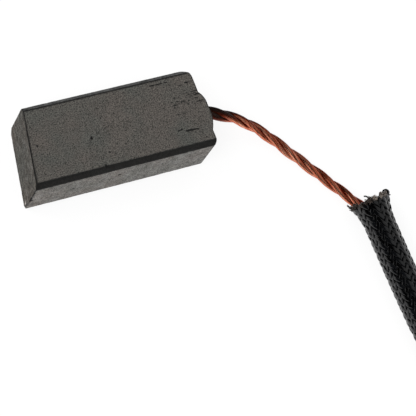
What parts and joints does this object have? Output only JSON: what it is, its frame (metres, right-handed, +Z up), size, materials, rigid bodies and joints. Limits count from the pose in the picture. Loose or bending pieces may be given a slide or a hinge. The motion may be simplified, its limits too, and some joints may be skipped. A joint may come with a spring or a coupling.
{
  "type": "carbon brush",
  "caption": "Carbon brush: graphite block with chamfered long edges and a slanted contact face, stranded copper shunt in a braided sleeve, and a ring terminal.",
  "frame": {"origin": "under the middle of the graphite block, on the surface it lies on", "axes": "+X along the block from the contact face to the shunt, +Y across its width, +Z up through its thickness"},
  "size_m": [0.0488, 0.0651, 0.0063],
  "materials": {
    "graphite": "satin",
    "bare_copper": "satin",
    "black_braid": "matte",
    "tinned_sheet": "satin"
  },
  "bodies": {
    "root": {"carbon_block": "graphite", "copper_shunt": "bare_copper", "insulating_sleeve": "black_braid", "ring_terminal": "tinned_sheet"}
  },
  "joints": []
}
